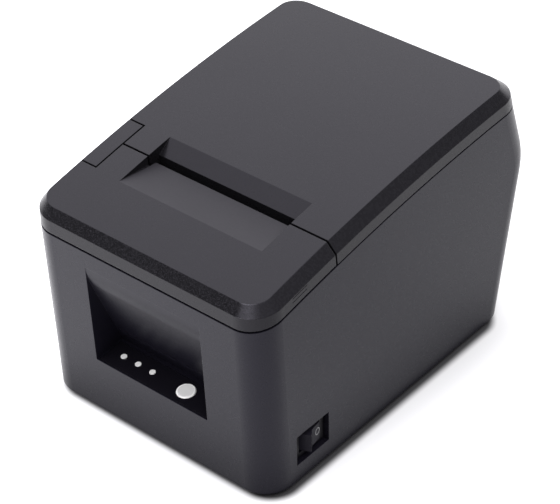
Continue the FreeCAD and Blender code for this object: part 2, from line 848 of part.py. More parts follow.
def paper_lid():
    left_side = box((f"-{FAR}", f"-{BUTTON_EDGE}"), ("0", FAR), ("0", FAR))
    left_wall = box((f"-{FAR}", f"cover_wall - {BUTTON_EDGE}"), ("0", FAR), ("0", FAR))
    outer = cut(
        common(cover_hull("0", "lid_lift", TOP_RISE), around_hinge(SPLIT_RADIUS)),
        cut(left_side, around_hinge(BUTTON_RADIUS)),
    )
    inner_hull = cover_hull("cover_wall", "-12", f"{TOP_RISE} - cover_wall")
    inner = cut(
        common(inner_hull, around_hinge(f"{SPLIT_RADIUS} - cover_wall")),
        cut(left_wall, around_hinge(f"{BUTTON_RADIUS} - cover_wall")),
    )
    lip_low = f"{top_at('lip_end')} - lip_drop"
    thick = "exit_wall"
    inside = f"lip_end + 1.2 * {thick}"
    block = common(
        exit_prism(
            [
                ("split_depth", "lip_foot"),
                (inside, "lip_foot"),
                (inside, f"{lip_low} - 0.4 * {thick}"),
                (f"lip_start + 1.2 * {thick}", f"{top_at('lip_start')} - {thick}"),
                (f"lip_start + 1.2 * {thick}", FAR),
                ("split_depth", FAR),
            ],
            thick,
        ),
        around_hinge(SPLIT_RADIUS),
        case_hull("cover_wall", "0", shift=f"{TOP_RISE} - 0.5"),
    )
    scoop = exit_prism(
        [
            ("0", "0"),
            ("lip_end", "0"),
            ("lip_end", lip_low),
            ("lip_start", top_at("lip_start")),
            ("lip_start", FAR),
            ("0", FAR),
        ],
        "0",
    )
    tangent = f"{HINGE_HEIGHT} + hinge_inset * sin({LEAN_ANGLE})"
    behind = cut(box((f"-{FAR}", FAR), (HINGE_DEPTH, FAR), ("0", tangent)), around_hinge("hinge_inset"))
    barrel = rod("x", "hinge_inset", "-barrel_half", "2 * barrel_half", (HINGE_DEPTH, HINGE_HEIGHT))
    ear_cuts = [
        box(
            (f"{sign} * ear_x - ear_width / 2 - ear_gap", f"{sign} * ear_x + ear_width / 2 + ear_gap"),
            (f"{HINGE_DEPTH} - 8", FAR),
            ("0", f"{HINGE_HEIGHT} + ear_radius + 1"),
        )
        for sign in (-1, 1)
    ]
    bores = [
        rod("x", "hinge_pin_radius + running_gap", f"{sign} * ear_x - hinge_pin_length / 2 - 0.3",
            "hinge_pin_length + 0.6", (HINGE_DEPTH, HINGE_HEIGHT))
        for sign in (-1, 1)
    ]
    deep = f"{TOP_RISE} - 2 * cover_wall - 2"
    middles = [f"exit_centre + {step} * 24" for step in (-1, 0, 1)]
    ribs = [
        common(
            box((f"{x} - 0.8", f"{x} + 0.8"), ("80", "178"), ("0", FAR)),
            cut(cover_hull("cover_wall - 0.5", "0", f"{TOP_RISE} - cover_wall + 0.5"),
                case_hull("0", "0", shift=deep)),
        )
        for x in middles
    ]
    post_foot = f"{BRACKET_HEIGHT} + sheet_thick"
    post_length = f"{top_at(POST_DEPTH)} - 1 - ({post_foot})"
    posts = [rod("z", "3", post_foot, post_length, spot) for spot in BRACKET_SPOTS]
    post_holes = [rod("z", "screw_radius", BRACKET_HEIGHT, "9", spot) for spot in BRACKET_SPOTS]
    shell = cut(fuse(cut(outer, inner, behind), block, barrel), scoop)
    node("paper_lid", cut(fuse(shell, *ribs, *posts), *ear_cuts, *bores, *post_holes))


def release_button():
    edge = f"{BUTTON_EDGE} + button_gap"
    front, rear = "button_front + button_gap", "button_rear - button_gap"
    block = common(
        cover_hull("0", "button_skirt", TOP_RISE),
        box((f"-{FAR}", f"-({edge})"), (front, rear), ("0", FAR)),
    )
    hollow = common(
        cover_hull("button_wall", "-12", f"{TOP_RISE} - button_wall"),
        box((f"-{FAR}", f"-({edge}) - button_wall"),
            (f"{front} + button_wall", f"{rear} - button_wall"), ("0", FAR)),
    )
    leg_x = (f"-{LEG_X} - leg_width / 2", f"-{LEG_X} + leg_width / 2")
    leg_z = ("latch_height + 2.6", f"{top_at('leg_front')} - 1")
    leg = box(leg_x, ("leg_front", "leg_front + leg_thick"), leg_z)
    node("release_button", fuse(cut(block, hollow), leg))


# Control panel


def finger_dish(spot):
    """The ball that leaves a shallow dish inside the button's rim."""
    ball = doc.addObject("Part::Sphere", "ball")
    radius = "((feed_radius - feed_rim)^2 + feed_dish^2) / (2 * feed_dish)"
    bind(ball, Radius=radius, Placement__Base__x=spot[0], Placement__Base__y=spot[1])
    bind(ball, Placement__Base__z=f"feed_rise - feed_dish + {radius}")
    return ball


def control_panel():
    plate = box((f"{PANEL_LEFT} + panel_clear", f"{PANEL_RIGHT} - panel_clear"),
                ("panel_rim + panel_clear", "panel_rim + panel_depth - panel_clear"),
                ("-panel_thick", "0"), placed=False)
    holes = [rod("z", "lens_radius + 0.1", "-9", "20", spot, placed=False) for spot in LENS_SPOTS]
    holes.append(rod("z", "feed_radius + 0.2", "-9", "20", ("feed_x", "feed_depth"), placed=False))
    node("control_panel", on_shelf(cut(plate, *holes)))
    for name, spot in zip(LENS_NAMES, LENS_SPOTS):
        pipe = rod("z", "lens_radius", "0.3 - panel_drop", "panel_drop", spot, placed=False)
        collar = rod("z", "lens_radius + 0.7", "-8", "2.5", spot, placed=False)
        node(name, on_shelf(fuse(pipe, collar)))
    spot = ("feed_x", "feed_depth")
    under = "-panel_thick - 1.2 * case_wall - 0.3"
    cap = rod("z", "feed_radius", under, f"feed_rise - ({under})", spot, placed=False)
    doc.recompute()
    dome = doc.addObject("Part::Chamfer", "dome")
    dome.Base = cap
    top_edge = max(range(len(cap.Shape.Edges)), key=lambda i: edge_middle(cap.Shape.Edges[i]).z)
    dome.Edges = [(top_edge + 1, 0.4, 0.4)]
    flange = rod("z", "feed_radius + 1.2", f"{under} - 1.2", "1.2", spot, placed=False)
    stem = rod("z", "2", f"{under} - 4", "3", spot, placed=False)
    node("feed_button", on_shelf(cut(fuse(dome, flange, stem), finger_dish(spot))))
    board = box((f"{PANEL_LEFT} + 1", f"{PANEL_RIGHT} - 1"), ("panel_rim + 1.5", "panel_rim + panel_depth"),
                ("-panel_drop - board_thick", "-panel_drop"), placed=False)
    node("panel_board", on_shelf(board))
    plunger_top = f"{under} - 4 - feed_travel - 0.1"
    tact = box(("feed_x - 3", "feed_x + 3"), ("feed_depth - 3", "feed_depth + 3"),
               ("-panel_drop", f"{plunger_top} - 0.6"), placed=False)
    plunger = rod("z", "1.7", "-panel_drop + 1", f"{plunger_top} + panel_drop - 1", spot, placed=False)
    node("tact_switch", on_shelf(fuse(tact, plunger)))


# Power switch


def power_switch():
    flange_face = f"{RIGHT} - recess_sink"
    flange = switch_box("flange_length", "flange_height", (RECESS_FLOOR, flange_face))
    reach = (f"{RECESS_FLOOR} - switch_reach", f"{RECESS_FLOOR} + 1")
    barrel = switch_box("switch_length", "switch_tall", reach)
    bay = switch_box("rocker_bay", "2 * rocker_half + 0.6", (f"{flange_face} - rocker_pivot - 5", FAR))
    pivot = (f"{flange_face} - rocker_pivot", "switch_depth")
    bore = rod("z", "rocker_pin + running_gap", "switch_height - rocker_half - 1.3",
               "2 * rocker_half + 2.6", pivot)
    blades = [
        box((f"{RECESS_FLOOR} - switch_reach - 7", f"{RECESS_FLOOR} - switch_reach + 1"),
            (f"switch_depth + {step} * 6 - 0.4", f"switch_depth + {step} * 6 + 0.4"),
            ("switch_height - 2.4", "switch_height + 2.4"))
        for step in (-1, 0.2)
    ]
    node("switch_body", fuse(cut(fuse(flange, barrel), bay, bore), *blades))
    # Plan outline of the rocker, tipped with its rear half pressed in
    outline = [(4.2, -3.2), (1.7, 0.4), (0.8, 6.6), (-4.0, 6.9), (-7.5, 2.4), (-7.5, -3.6), (-2.7, -6.4)]
    corners = [(f"{flange_face} + {dx}", f"switch_depth + {dy}") for dx, dy in outline]
    wedge = prism("XY", corners, "switch_height - rocker_half", "2 * rocker_half")
    pin = rod("z", "rocker_pin", "switch_height - rocker_half - 1.2", "2 * rocker_half + 2.4", pivot)
    node("power_rocker", fuse(wedge, pin))


# Boards and sockets


def main_board():
    face = "bay_floor + 0.3"
    floor = "board_height + board_thick"
    board = box((BOARD_LEFT, BOARD_RIGHT), ("board_front", "board_rear"), ("board_height", floor))
    node("main_board", board)
    depth = 15
    usb = cut(
        socket_box("usb", (f"{face} - {depth}", face)),
        box(("usb_x - 4.2", "usb_x + 4.2"), (f"{face} - 9", f"{face} + 1"),
            (f"{floor} + 1.6", f"{floor} + 9.4")),
    )
    tongue = box(("usb_x - 2.8", "usb_x + 2.8"), (f"{face} - 10", f"{face} - 1"),
                 (f"{floor} + 3.9", f"{floor} + 7.1"))
    node("usb_socket", fuse(usb, tongue))
    plug_reach = (f"{face} - 12", f"{face} + 1")
    drawer = cut(
        socket_box("drawer", (f"{face} - {depth}", face)),
        box(("drawer_x - 4.9", "drawer_x + 4.9"), plug_reach, (f"{floor} + 2", f"{floor} + 8.8")),
        box(("drawer_x - 3.2", "drawer_x + 3.2"), plug_reach, (f"{floor} + 2", f"{floor} + 11")),
    )
    node("drawer_socket", drawer)
    level = f"{floor} + 5.5"
    jack = cut(
        socket_box("power", (f"{face} - {depth}", face)),
        rod("y", "3.1", f"{face} - 11", "12", ("power_x", level)),
    )
    centre_pin = rod("y", "1", f"{face} - 12", "11", ("power_x", level))
    node("power_socket", fuse(jack, centre_pin))


# Paper bucket


def paper_bucket():
    left, right = "exit_centre - roll_width / 2", "exit_centre + roll_width / 2"
    top = "deck_height + bucket_wall"

    def trough(radius, x0, length, high):
        tub = rod("x", radius, x0, length, (ROLL_DEPTH, "roll_height"))
        y = (f"{ROLL_DEPTH} - ({radius})", f"{ROLL_DEPTH} + ({radius})")
        sides = box((x0, f"{x0} + {length}"), y, ("roll_height", high))
        return [tub, sides]

    wall = "bucket_wall"
    edge = f"{RIGHT} - case_wall - deck_clear"
    deck = box((f"-({edge})", edge), (DECK_FRONT, "deck_rear"), ("deck_height", top))
    outside = trough(f"roll_radius + {wall}", f"{left} - {wall}", f"(roll_width + 2 * {wall})", top)
    inside = trough("roll_radius", left, "roll_width", FAR)
    window = box((left, right), ("0", f"{ROLL_DEPTH} - roll_radius + 1"), ("paper_sill", FAR))
    node("paper_bucket", cut(fuse(deck, *outside), *inside, window))


# Mechanism


def plate_outline():
    return [
        ("frame_front", "frame_bottom"),
        (FRAME_REAR, "frame_bottom"),
        (FRAME_REAR, "frame_top - 8"),
        (f"{FRAME_REAR} - 8", "frame_top"),
        ("frame_front", "frame_top"),
    ]


PLATEN_AXIS = ("platen_depth", "platen_height")
PLATEN_REACH = f"sqrt(({HINGE_DEPTH} - platen_depth)^2 + ({HINGE_HEIGHT} - platen_height)^2)"
IDLER_SPAN = f"(gear_module * {PLATEN_TEETH + IDLER_TEETH} / 2 + mesh_play)"
IDLER_AXIS = (
    f"platen_depth + {IDLER_SPAN} * sin(idler_bearing)",
    f"platen_height - {IDLER_SPAN} * cos(idler_bearing)",
)
FEED_SPAN = f"(gear_module * {IDLER_TEETH + FEED_TEETH} / 2 + mesh_play)"
FEED_AXIS = (
    f"{IDLER_AXIS[0]} - {FEED_SPAN} * sin(motor_bearing)",
    f"{IDLER_AXIS[1]} - {FEED_SPAN} * cos(motor_bearing)",
)
RACK_LINE = f"{BLADE_HEIGHT} - rack_thick + gear_module * 0.8"
CUTTER_AXIS = ("cutter_depth", f"{RACK_LINE} - gear_module * {RACK_PINION_TEETH} / 2 - mesh_play")
CUTTER_SPAN = f"(gear_module * {CUTTER_TEETH + CUTTER_PINION_TEETH} / 2 + mesh_play)"
CUTTER_MOTOR_AXIS = (
    f"{CUTTER_AXIS[0]} - {CUTTER_SPAN} * sin(cutter_bearing)",
    f"{CUTTER_AXIS[1]} - {CUTTER_SPAN} * cos(cutter_bearing)",
)
LATCH_AXIS = ("platen_depth - latch_depth", "latch_height")
CONTACT = (
    "platen_depth - platen_radius * cos(head_tilt)",
    "platen_height - platen_radius * sin(head_tilt)",
)
SINK_BACK = "-head_clear - head_thick - sink_thick"
HEAD_PIVOT = ("-head_clear - head_thick - sink_thick / 2", "-head_pivot_fall")


def at_head(thing):
    return tilt(thing, CONTACT[0], CONTACT[1], "head_tilt")


def frame_plate(name, x, holes):
    plate = prism("YZ", plate_outline(), x, "sheet_thick")
    wide = "bush_radius + 0.3"
    gate = common(
        cut(around_hinge(f"{PLATEN_REACH} + {wide}"), around_hinge(f"{PLATEN_REACH} - ({wide})")),
        box((f"{x} - 5", f"{x} + 5"), ("0", FAR), ("platen_height", FAR)),
    )
    seat = rod("x", wide, f"{x} - 5", "10", PLATEN_AXIS)
    bores = [rod("x", radius, f"{x} - 5", "10", axis) for radius, axis in holes]
    head_bore = at_head(rod("x", "head_pin", f"{x} - 5", "10", HEAD_PIVOT, placed=False))
    node(name, cut(plate, gate, seat, head_bore, *bores))


def frame():
    both = [
        ("latch_pin + running_gap", LATCH_AXIS),
        ("cutter_shaft_radius + running_gap", CUTTER_AXIS),
    ]
    drives = [
        ("idler_pin", IDLER_AXIS),
        ("4 * motor_shaft + 0.2", FEED_AXIS),
        ("cutter_motor_radius / 3 + 0.2", CUTTER_MOTOR_AXIS),
    ]
    frame_plate("frame_left", f"{FRAME_LEFT} - sheet_thick", both)
    frame_plate("frame_right", FRAME_RIGHT, both + drives)
    floor_z = ("frame_bottom", "frame_bottom + sheet_thick")
    node("frame_floor", box((FRAME_LEFT, FRAME_RIGHT), ("frame_front", FRAME_REAR), floor_z))


def gear_shape(teeth, bore, width):
    """A spur gear along x about its own zero, one tooth pointing up the y axis."""
    module = value("gear_module")
    pitch = module * teeth / 2
    base = pitch * math.cos(PRESSURE_ANGLE)
    root, tip = pitch - 1.05 * module, pitch + 0.8 * module

    def half_angle(radius):
        roll = math.acos(min(base / radius, 1.0))
        at_pitch = math.tan(PRESSURE_ANGLE) - PRESSURE_ANGLE
        thin = value("mesh_play") / (2 * pitch)
        return math.pi / (2 * teeth) - thin + at_pitch - (math.tan(roll) - roll)

    def at(radius, angle):
        return Vector(0, radius * math.cos(angle), radius * math.sin(angle))

    edges = []
    turn = 2 * math.pi / teeth
    waist = (root + tip) / 2
    for number in range(teeth):
        middle = number * turn
        low, mid, high = half_angle(root), half_angle(waist), half_angle(tip)
        rising = [at(root, middle - low), at(waist, middle - mid), at(tip, middle - high)]
        falling = [at(tip, middle + high), at(waist, middle + mid), at(root, middle + low)]
        edges.append(Part.Arc(*rising))
        edges.append(Part.LineSegment(rising[2], falling[0]))
        edges.append(Part.Arc(*falling))
        edges.append(Part.LineSegment(falling[2], at(root, middle + turn - low)))
    face = Part.Face(Part.Wire([edge.toShape() for edge in edges]))
    blank = face.extrude(Vector(width, 0, 0))
    return blank.cut(Part.makeCylinder(bore, width, Vector(), Vector(1, 0, 0)))


def gear(teeth, bore, x, width, axis, turn=0.0):
    """Places a gear on an axis, turned by a number of degrees about x."""
    thing = doc.addObject("Part::Feature", "gear")
    thing.Shape = gear_shape(teeth, value(bore), value(width))
    spot = Vector(value(x), value(from_front(axis[0])), value(from_bottom(axis[1])))
    thing.Placement = FreeCAD.Placement(spot, FreeCAD.Rotation(Vector(1, 0, 0), turn))
    return thing


def mesh_turn(first_teeth, first_turn, second_teeth, bearing):
    """Turn of a second gear that lies at a bearing (degrees from +y) from the first, in mesh."""
    step = 360 / first_teeth
    offset = (bearing - first_turn) % step
    return bearing + 180 + (offset / step + 0.5) * 360 / second_teeth


def platen():
    left, right = "exit_centre - roll_width / 2", "exit_centre + roll_width / 2"
    shaft_left = f"{FRAME_LEFT} - sheet_thick - 3"
    shaft_length = f"gear_x + gear_width + 1 - ({shaft_left})"
    node("platen_shaft", rod("x", "platen_shaft_radius", shaft_left, shaft_length, PLATEN_AXIS))
    sleeve = cut(
        rod("x", "platen_radius", left, "roll_width", PLATEN_AXIS),
        rod("x", "platen_shaft_radius", f"{left} - 1", "roll_width + 2", PLATEN_AXIS),
    )
    node("platen_rubber", sleeve)
    node("platen_gear", gear(PLATEN_TEETH, "platen_shaft_radius", "gear_x", "gear_width", PLATEN_AXIS))
    ear_left = f"{left} - bracket_gap - sheet_thick"
    ear_right = f"{right} + bracket_gap"
    bush_out = "sheet_thick + 3.6"
    spans = [
        (f"{FRAME_LEFT} - {bush_out} + 1.5", f"{ear_left} + sheet_thick"),
        (ear_right, f"{FRAME_RIGHT} + {bush_out} - 1.5"),
    ]
    bushes = [
        cut(rod("x", "bush_radius", x0, f"({x1}) - ({x0})", PLATEN_AXIS),
            rod("x", "platen_shaft_radius + running_gap", f"{x0} - 1", f"({x1}) - ({x0}) + 2", PLATEN_AXIS))
        for x0, x1 in spans
    ]
    node("platen_bushes", group(*bushes))
    top = box((ear_left, f"{ear_right} + sheet_thick"), (BRACKET_FRONT, BRACKET_REAR),
              (BRACKET_HEIGHT, f"{BRACKET_HEIGHT} + sheet_thick"))
    ear = [
        ("platen_depth - 5.5", "platen_height - 6"),
        ("platen_depth + 5.5", "platen_height - 6"),
        (BRACKET_REAR, f"{BRACKET_HEIGHT} - 4"),
        (BRACKET_REAR, f"{BRACKET_HEIGHT} + 0.5"),
        (BRACKET_FRONT, f"{BRACKET_HEIGHT} + 0.5"),
        ("platen_depth - 5.4", "platen_height"),
    ]
    ears = [prism("YZ", ear, x, "sheet_thick") for x in (ear_left, ear_right)]
    seats = rod("x", "bush_radius", f"{ear_left} - 1", "2 * frame_half + 9", PLATEN_AXIS)
    holes = [rod("z", "screw_radius + 0.1", f"{BRACKET_HEIGHT} - 1", "9", spot) for spot in BRACKET_SPOTS]
    node("platen_bracket", cut(fuse(top, *ears), seats, *holes))
    screws = [
        fuse(rod("z", "screw_head", f"{BRACKET_HEIGHT} - 1.5", "1.5", spot),
             rod("z", "screw_radius - 0.05", f"{BRACKET_HEIGHT} - 0.5", "8", spot))
        for spot in BRACKET_SPOTS
    ]
    node("bracket_screws", group(*screws))
    blade = box((f"{left} + 0.5", f"{right} - 0.5"), ("lip_end + 0.2", f"{BRACKET_REAR} - 9"),
                (f"{BRACKET_HEIGHT} - 1", BRACKET_HEIGHT))
    node("fixed_blade", blade)


def print_head():
    left, right = "exit_centre - roll_width / 2 + 1", "exit_centre + roll_width / 2 - 1"
    strip_back = "-head_clear - head_thick"
    strip = box((left, right), (strip_back, "-head_clear"), ("-head_fall / 2", "head_rise"), placed=False)
    node("print_head", at_head(strip))
    sink = box((left, right), (SINK_BACK, strip_back), ("-head_fall", "head_rise"), placed=False)
    bore = rod("x", "head_pin + running_gap", f"{left} - 1", "roll_width + 2", HEAD_PIVOT, placed=False)
    node("head_sink", at_head(cut(sink, bore)))
    span = "2 * frame_half + 2 * sheet_thick"
    shaft = rod("x", "head_pin", f"{FRAME_LEFT} - sheet_thick", span, HEAD_PIVOT, placed=False)
    node("head_shaft", at_head(shaft))
    bar_face = f"{SINK_BACK} - head_spring_length"
    bar = box((FRAME_LEFT, FRAME_RIGHT), (f"{bar_face} - sheet_thick", bar_face),
              ("2.2 - head_rise", "head_rise + 1"), placed=False)
    node("spring_bar", at_head(bar))
    leaf = [
        (SINK_BACK, "-spring_rise / 2"),
        (SINK_BACK, "spring_rise"),
        (f"{SINK_BACK} - spring_leaf", "spring_rise"),
        (f"{SINK_BACK} - spring_leaf", "spring_leaf - spring_rise / 4"),
        (f"{SINK_BACK} - spring_reach", "spring_rise"),
        (f"{SINK_BACK} - spring_reach - spring_leaf", "spring_rise"),
        (f"{SINK_BACK} - spring_leaf", "-spring_rise / 2"),
    ]
    starts = [f"exit_centre + {sign} * head_spring_x - spring_width / 2" for sign in (-1, 1)]
    leaves = [prism("YZ", leaf, start, "spring_width", placed=False) for start in starts]
    node("head_springs", at_head(group(*leaves)))


def feed_drive():
    idler = gear(IDLER_TEETH, "idler_pin + running_gap", "gear_x", "gear_width", IDLER_AXIS, IDLER_TURN)
    node("idler_gear", idler)
    outside = f"{FRAME_RIGHT} + sheet_thick"
    pin = fuse(
        rod("x", "idler_pin", FRAME_RIGHT, f"gear_x + gear_width + 0.5 - ({FRAME_RIGHT})", IDLER_AXIS),
        rod("x", "idler_pin + 1", "gear_x + gear_width + 0.4", "1", IDLER_AXIS),
        rod("x", "idler_pin + 1.5", outside, f"gear_x - 0.3 - ({outside})", IDLER_AXIS),
    )
    node("idler_pin", pin)
    back = f"{FRAME_RIGHT} - 1 - motor_length"
    can = rod("x", "motor_radius", back, "motor_length", FEED_AXIS)
    depth, height = FEED_AXIS
    flange = box((f"{FRAME_RIGHT} - 1", FRAME_RIGHT), (f"{depth} - 13", f"{depth} + 13"),
                 (f"{height} - 5", f"{height} + 5"))
    boss = rod("x", "4 * motor_shaft", FRAME_RIGHT, "sheet_thick + 0.5", FEED_AXIS)
    bore = rod("x", "motor_shaft + running_gap", f"{back} + 4", "30", FEED_AXIS)
    node("feed_motor", cut(fuse(can, flange, boss), bore))
    wheel = gear(FEED_TEETH, "motor_shaft", "gear_x", "gear_width", FEED_AXIS, FEED_TURN)
    shaft = rod("x", "motor_shaft", f"{back} + 5", f"gear_x + gear_width - ({back}) - 4", FEED_AXIS)
    node("feed_pinion", fuse(wheel, shaft))


def rack_shape(width):
    """A toothed strip along y, teeth down, from its own zero at the front of its top face."""
    module = value("gear_module")
    length = value("rack_rear - rack_front")
    thick = value("rack_thick")
    pitch = math.pi * module
    lean = math.tan(PRESSURE_ANGLE)
    half = pitch / 4 - value("mesh_play") / 2
    tip, root = -thick, -thick + 1.85 * module
    pitch_line = -thick + 0.8 * module
    zero = value("cutter_depth - rack_front")
    points = [Vector(0, 0, 0), Vector(0, 0, root)]
    for number in range(-5, 5):
        middle = zero + (number + 0.5) * pitch
        if half + 0.5 < middle < length - half - 0.5:
            for level, sign in ((root, -1), (tip, -1), (tip, 1), (root, 1)):
                reach = half + (level - pitch_line) * lean
                points.append(Vector(0, middle + sign * reach, level))
    points += [Vector(0, length, root), Vector(0, length, 0), Vector(0, 0, 0)]
    return Part.Face(Part.makePolygon(points)).extrude(Vector(width, 0, 0))


def cutter():
    middle = "exit_centre"
    corners = [
        (f"{middle} - blade_half", "blade_front"),
        (f"{middle} + blade_half", "blade_front"),
        (f"{middle} + blade_half", "blade_edge"),
        (middle, "blade_edge - blade_vee"),
        (f"{middle} - blade_half", "blade_edge"),
    ]
    node("moving_blade", prism("XY", corners, BLADE_HEIGHT, "blade_thick"))
    racks = []
    pinions = []
    for x in (f"{middle} - blade_half", f"{middle} + blade_half - rack_width"):
        rack = doc.addObject("Part::Feature", "rack")
        rack.Shape = rack_shape(value("rack_width"))
        spot = Vector(value(x), value(from_front("rack_front")), value(from_bottom(BLADE_HEIGHT)))
        rack.Placement = FreeCAD.Placement(spot, FreeCAD.Rotation())
        racks.append(rack)
        pinions.append(gear(RACK_PINION_TEETH, "cutter_shaft_radius", x, "rack_width", CUTTER_AXIS, 90))
    node("blade_racks", group(*racks))
    node("rack_pinions", group(*pinions))
    shaft_left = f"{FRAME_LEFT} - sheet_thick - 0.5"
    shaft_length = f"gear_x + gear_width - ({shaft_left})"
    node("cutter_shaft", rod("x", "cutter_shaft_radius", shaft_left, shaft_length, CUTTER_AXIS))
    node("cutter_gear", gear(CUTTER_TEETH, "cutter_shaft_radius", "gear_x", "gear_width", CUTTER_AXIS, 0))
    inset = "(rack_width + 1)"
    bed_top = f"{BLADE_HEIGHT} - 0.3"
    bed_low = f"{bed_top} - sheet_thick"
    bed_x = (f"{middle} - blade_half + {inset}", f"{middle} + blade_half - {inset}")
    bed = fuse(
        box(bed_x, ("frame_front", "blade_edge - 2"), (bed_low, bed_top)),
        box((FRAME_LEFT, FRAME_RIGHT), ("frame_front", "rack_front - 1"), (bed_low, bed_top)),
    )
    node("cutter_bed", bed)
    back = f"{FRAME_RIGHT} - cutter_motor_length"
    can = rod("x", "cutter_motor_radius", back, "cutter_motor_length", CUTTER_MOTOR_AXIS)
    boss = rod("x", "cutter_motor_radius / 3", FRAME_RIGHT, "sheet_thick + 0.5", CUTTER_MOTOR_AXIS)
    bore = rod("x", "motor_shaft + running_gap", f"{back} + 4", "60", CUTTER_MOTOR_AXIS)
    node("cutter_motor", cut(fuse(can, boss), bore))
    teeth, turn = CUTTER_PINION_TEETH, CUTTER_PINION_TURN
    wheel = gear(teeth, "motor_shaft", "gear_x", "gear_width", CUTTER_MOTOR_AXIS, turn)
    shaft = rod("x", "motor_shaft", f"{back} + 5", f"gear_x + gear_width - ({back}) - 4", CUTTER_MOTOR_AXIS)
    node("cutter_pinion", fuse(wheel, shaft))


# Lid latch


def latch():
    depth, height = LATCH_AXIS
    left = f"{FRAME_LEFT} - sheet_thick - hook_gap - sheet_thick"
    right = f"{FRAME_RIGHT} + sheet_thick + hook_gap"
    arm_x = f"-{LEG_X} - leg_width / 2 - 0.5"
    hook = [
        (f"{depth} - 3.5", f"{height} - 2"),
        (depth, f"{height} - 4"),
        (f"{depth} + 4", f"{height} - 1"),
        (f"{depth} + 7.2", f"{height} + 13"),
        (f"{depth} + 9.6", f"{height} + 18.6"),
        (f"{depth} + 9.2", f"{height} + 21.4"),
        (f"{depth} + 4.5", f"{height} + 22.5"),
        (f"{depth} + 0.5", f"{height} + 13"),
    ]
    hooks = [prism("YZ", hook, x, "sheet_thick") for x in (left, right)]
    arm = box((arm_x, f"{arm_x} + 4"), ("leg_front - 1", f"{depth} + 2"),
              (f"{height} - 2.3", f"{height} + 2.3"))
    shaft = rod("x", "latch_pin", arm_x, f"{right} + sheet_thick + 1 - ({arm_x})", LATCH_AXIS)
    node("latch_hooks", fuse(*hooks, arm, shaft))


IDLER_TURN = mesh_turn(PLATEN_TEETH, 0, IDLER_TEETH, SIZES["idler_bearing"] - 90)
FEED_TURN = mesh_turn(IDLER_TEETH, IDLER_TURN, FEED_TEETH, -90 - SIZES["motor_bearing"])
CUTTER_PINION_TURN = mesh_turn(CUTTER_TEETH, 0, CUTTER_PINION_TEETH, -90 - SIZES["cutter_bearing"])

base_plate()
main_case()
front_cover()
paper_lid()
release_button()
control_panel()
power_switch()
main_board()
paper_bucket()
frame()
platen()
print_head()
feed_drive()
cutter()
latch()
doc.recompute()


def check_and_write():
    failed = [thing.Label for thing in doc.Objects if {"Invalid", "Error"} & set(thing.State)]
    failed += [thing.Label for thing in nodes if thing.Shape.isNull() or not thing.Shape.isValid()]
    if failed:
        raise RuntimeError(f"these did not build: {failed}")
    os.makedirs("parts", exist_ok=True)
    for thing in nodes:
        thing.Shape.exportStep(f"parts/{thing.Label}.step")
        print(thing.Label, len(thing.Shape.Solids), round(thing.Shape.Volume, 2))


check_and_write()
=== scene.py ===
"""Looks of the receipt printer: materials, the rocker's mark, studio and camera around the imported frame."""
import json
import math

import bmesh
import bpy
from mathutils import Matrix, Vector


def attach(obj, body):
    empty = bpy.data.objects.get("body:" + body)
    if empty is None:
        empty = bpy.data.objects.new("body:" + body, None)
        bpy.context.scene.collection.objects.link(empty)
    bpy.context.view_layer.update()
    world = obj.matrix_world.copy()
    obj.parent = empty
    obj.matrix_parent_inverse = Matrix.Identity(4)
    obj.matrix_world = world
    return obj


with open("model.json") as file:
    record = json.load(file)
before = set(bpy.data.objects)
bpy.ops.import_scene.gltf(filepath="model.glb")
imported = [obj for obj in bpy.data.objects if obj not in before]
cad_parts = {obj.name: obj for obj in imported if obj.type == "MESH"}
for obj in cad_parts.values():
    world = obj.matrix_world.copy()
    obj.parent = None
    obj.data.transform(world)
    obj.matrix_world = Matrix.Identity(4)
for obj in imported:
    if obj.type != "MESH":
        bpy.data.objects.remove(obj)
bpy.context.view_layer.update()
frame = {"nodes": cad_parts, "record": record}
nodes = frame["nodes"]
MM = 0.001


# Shader nodes


class NodeTree:
    """Helpers for a tree of shader nodes."""

    def __init__(self, tree, place):
        self.tree = tree
        self.place = self.node("ShaderNodeTexCoord").outputs[place]

    def node(self, kind, inputs=None, **settings):
        made = self.tree.nodes.new(kind)
        for name, value in settings.items():
            setattr(made, name, value)
        for name, value in (inputs or {}).items():
            self.feed(made.inputs[name], value)
        return made

    def feed(self, socket, value):
        if isinstance(value, bpy.types.NodeSocket):
            self.tree.links.new(value, socket)
        else:
            socket.default_value = value

    def ramp(self, value, low, high, bottom, top):
        """Goes smoothly from bottom to top while value goes from low to high."""
        inputs = {"Value": value, "From Min": low, "From Max": high, "To Min": bottom, "To Max": top}
        return self.node("ShaderNodeMapRange", inputs, interpolation_type="SMOOTHSTEP").outputs["Result"]

    def math(self, operation, first, second):
        return self.node("ShaderNodeMath", {0: first, 1: second}, operation=operation).outputs["Value"]

    def times(self, first, second):
        return self.math("MULTIPLY", first, second)

    def vector_math(self, operation, *values):
        """Result of a vector operation, which is a number for a length or a dot product."""
        made = self.node("ShaderNodeVectorMath", dict(enumerate(values)), operation=operation)
        return made.outputs["Value" if operation in ("LENGTH", "DOT_PRODUCT") else "Vector"]

    def part_of(self, vector, axis):
        return self.node("ShaderNodeSeparateXYZ", {0: vector}).outputs[axis]


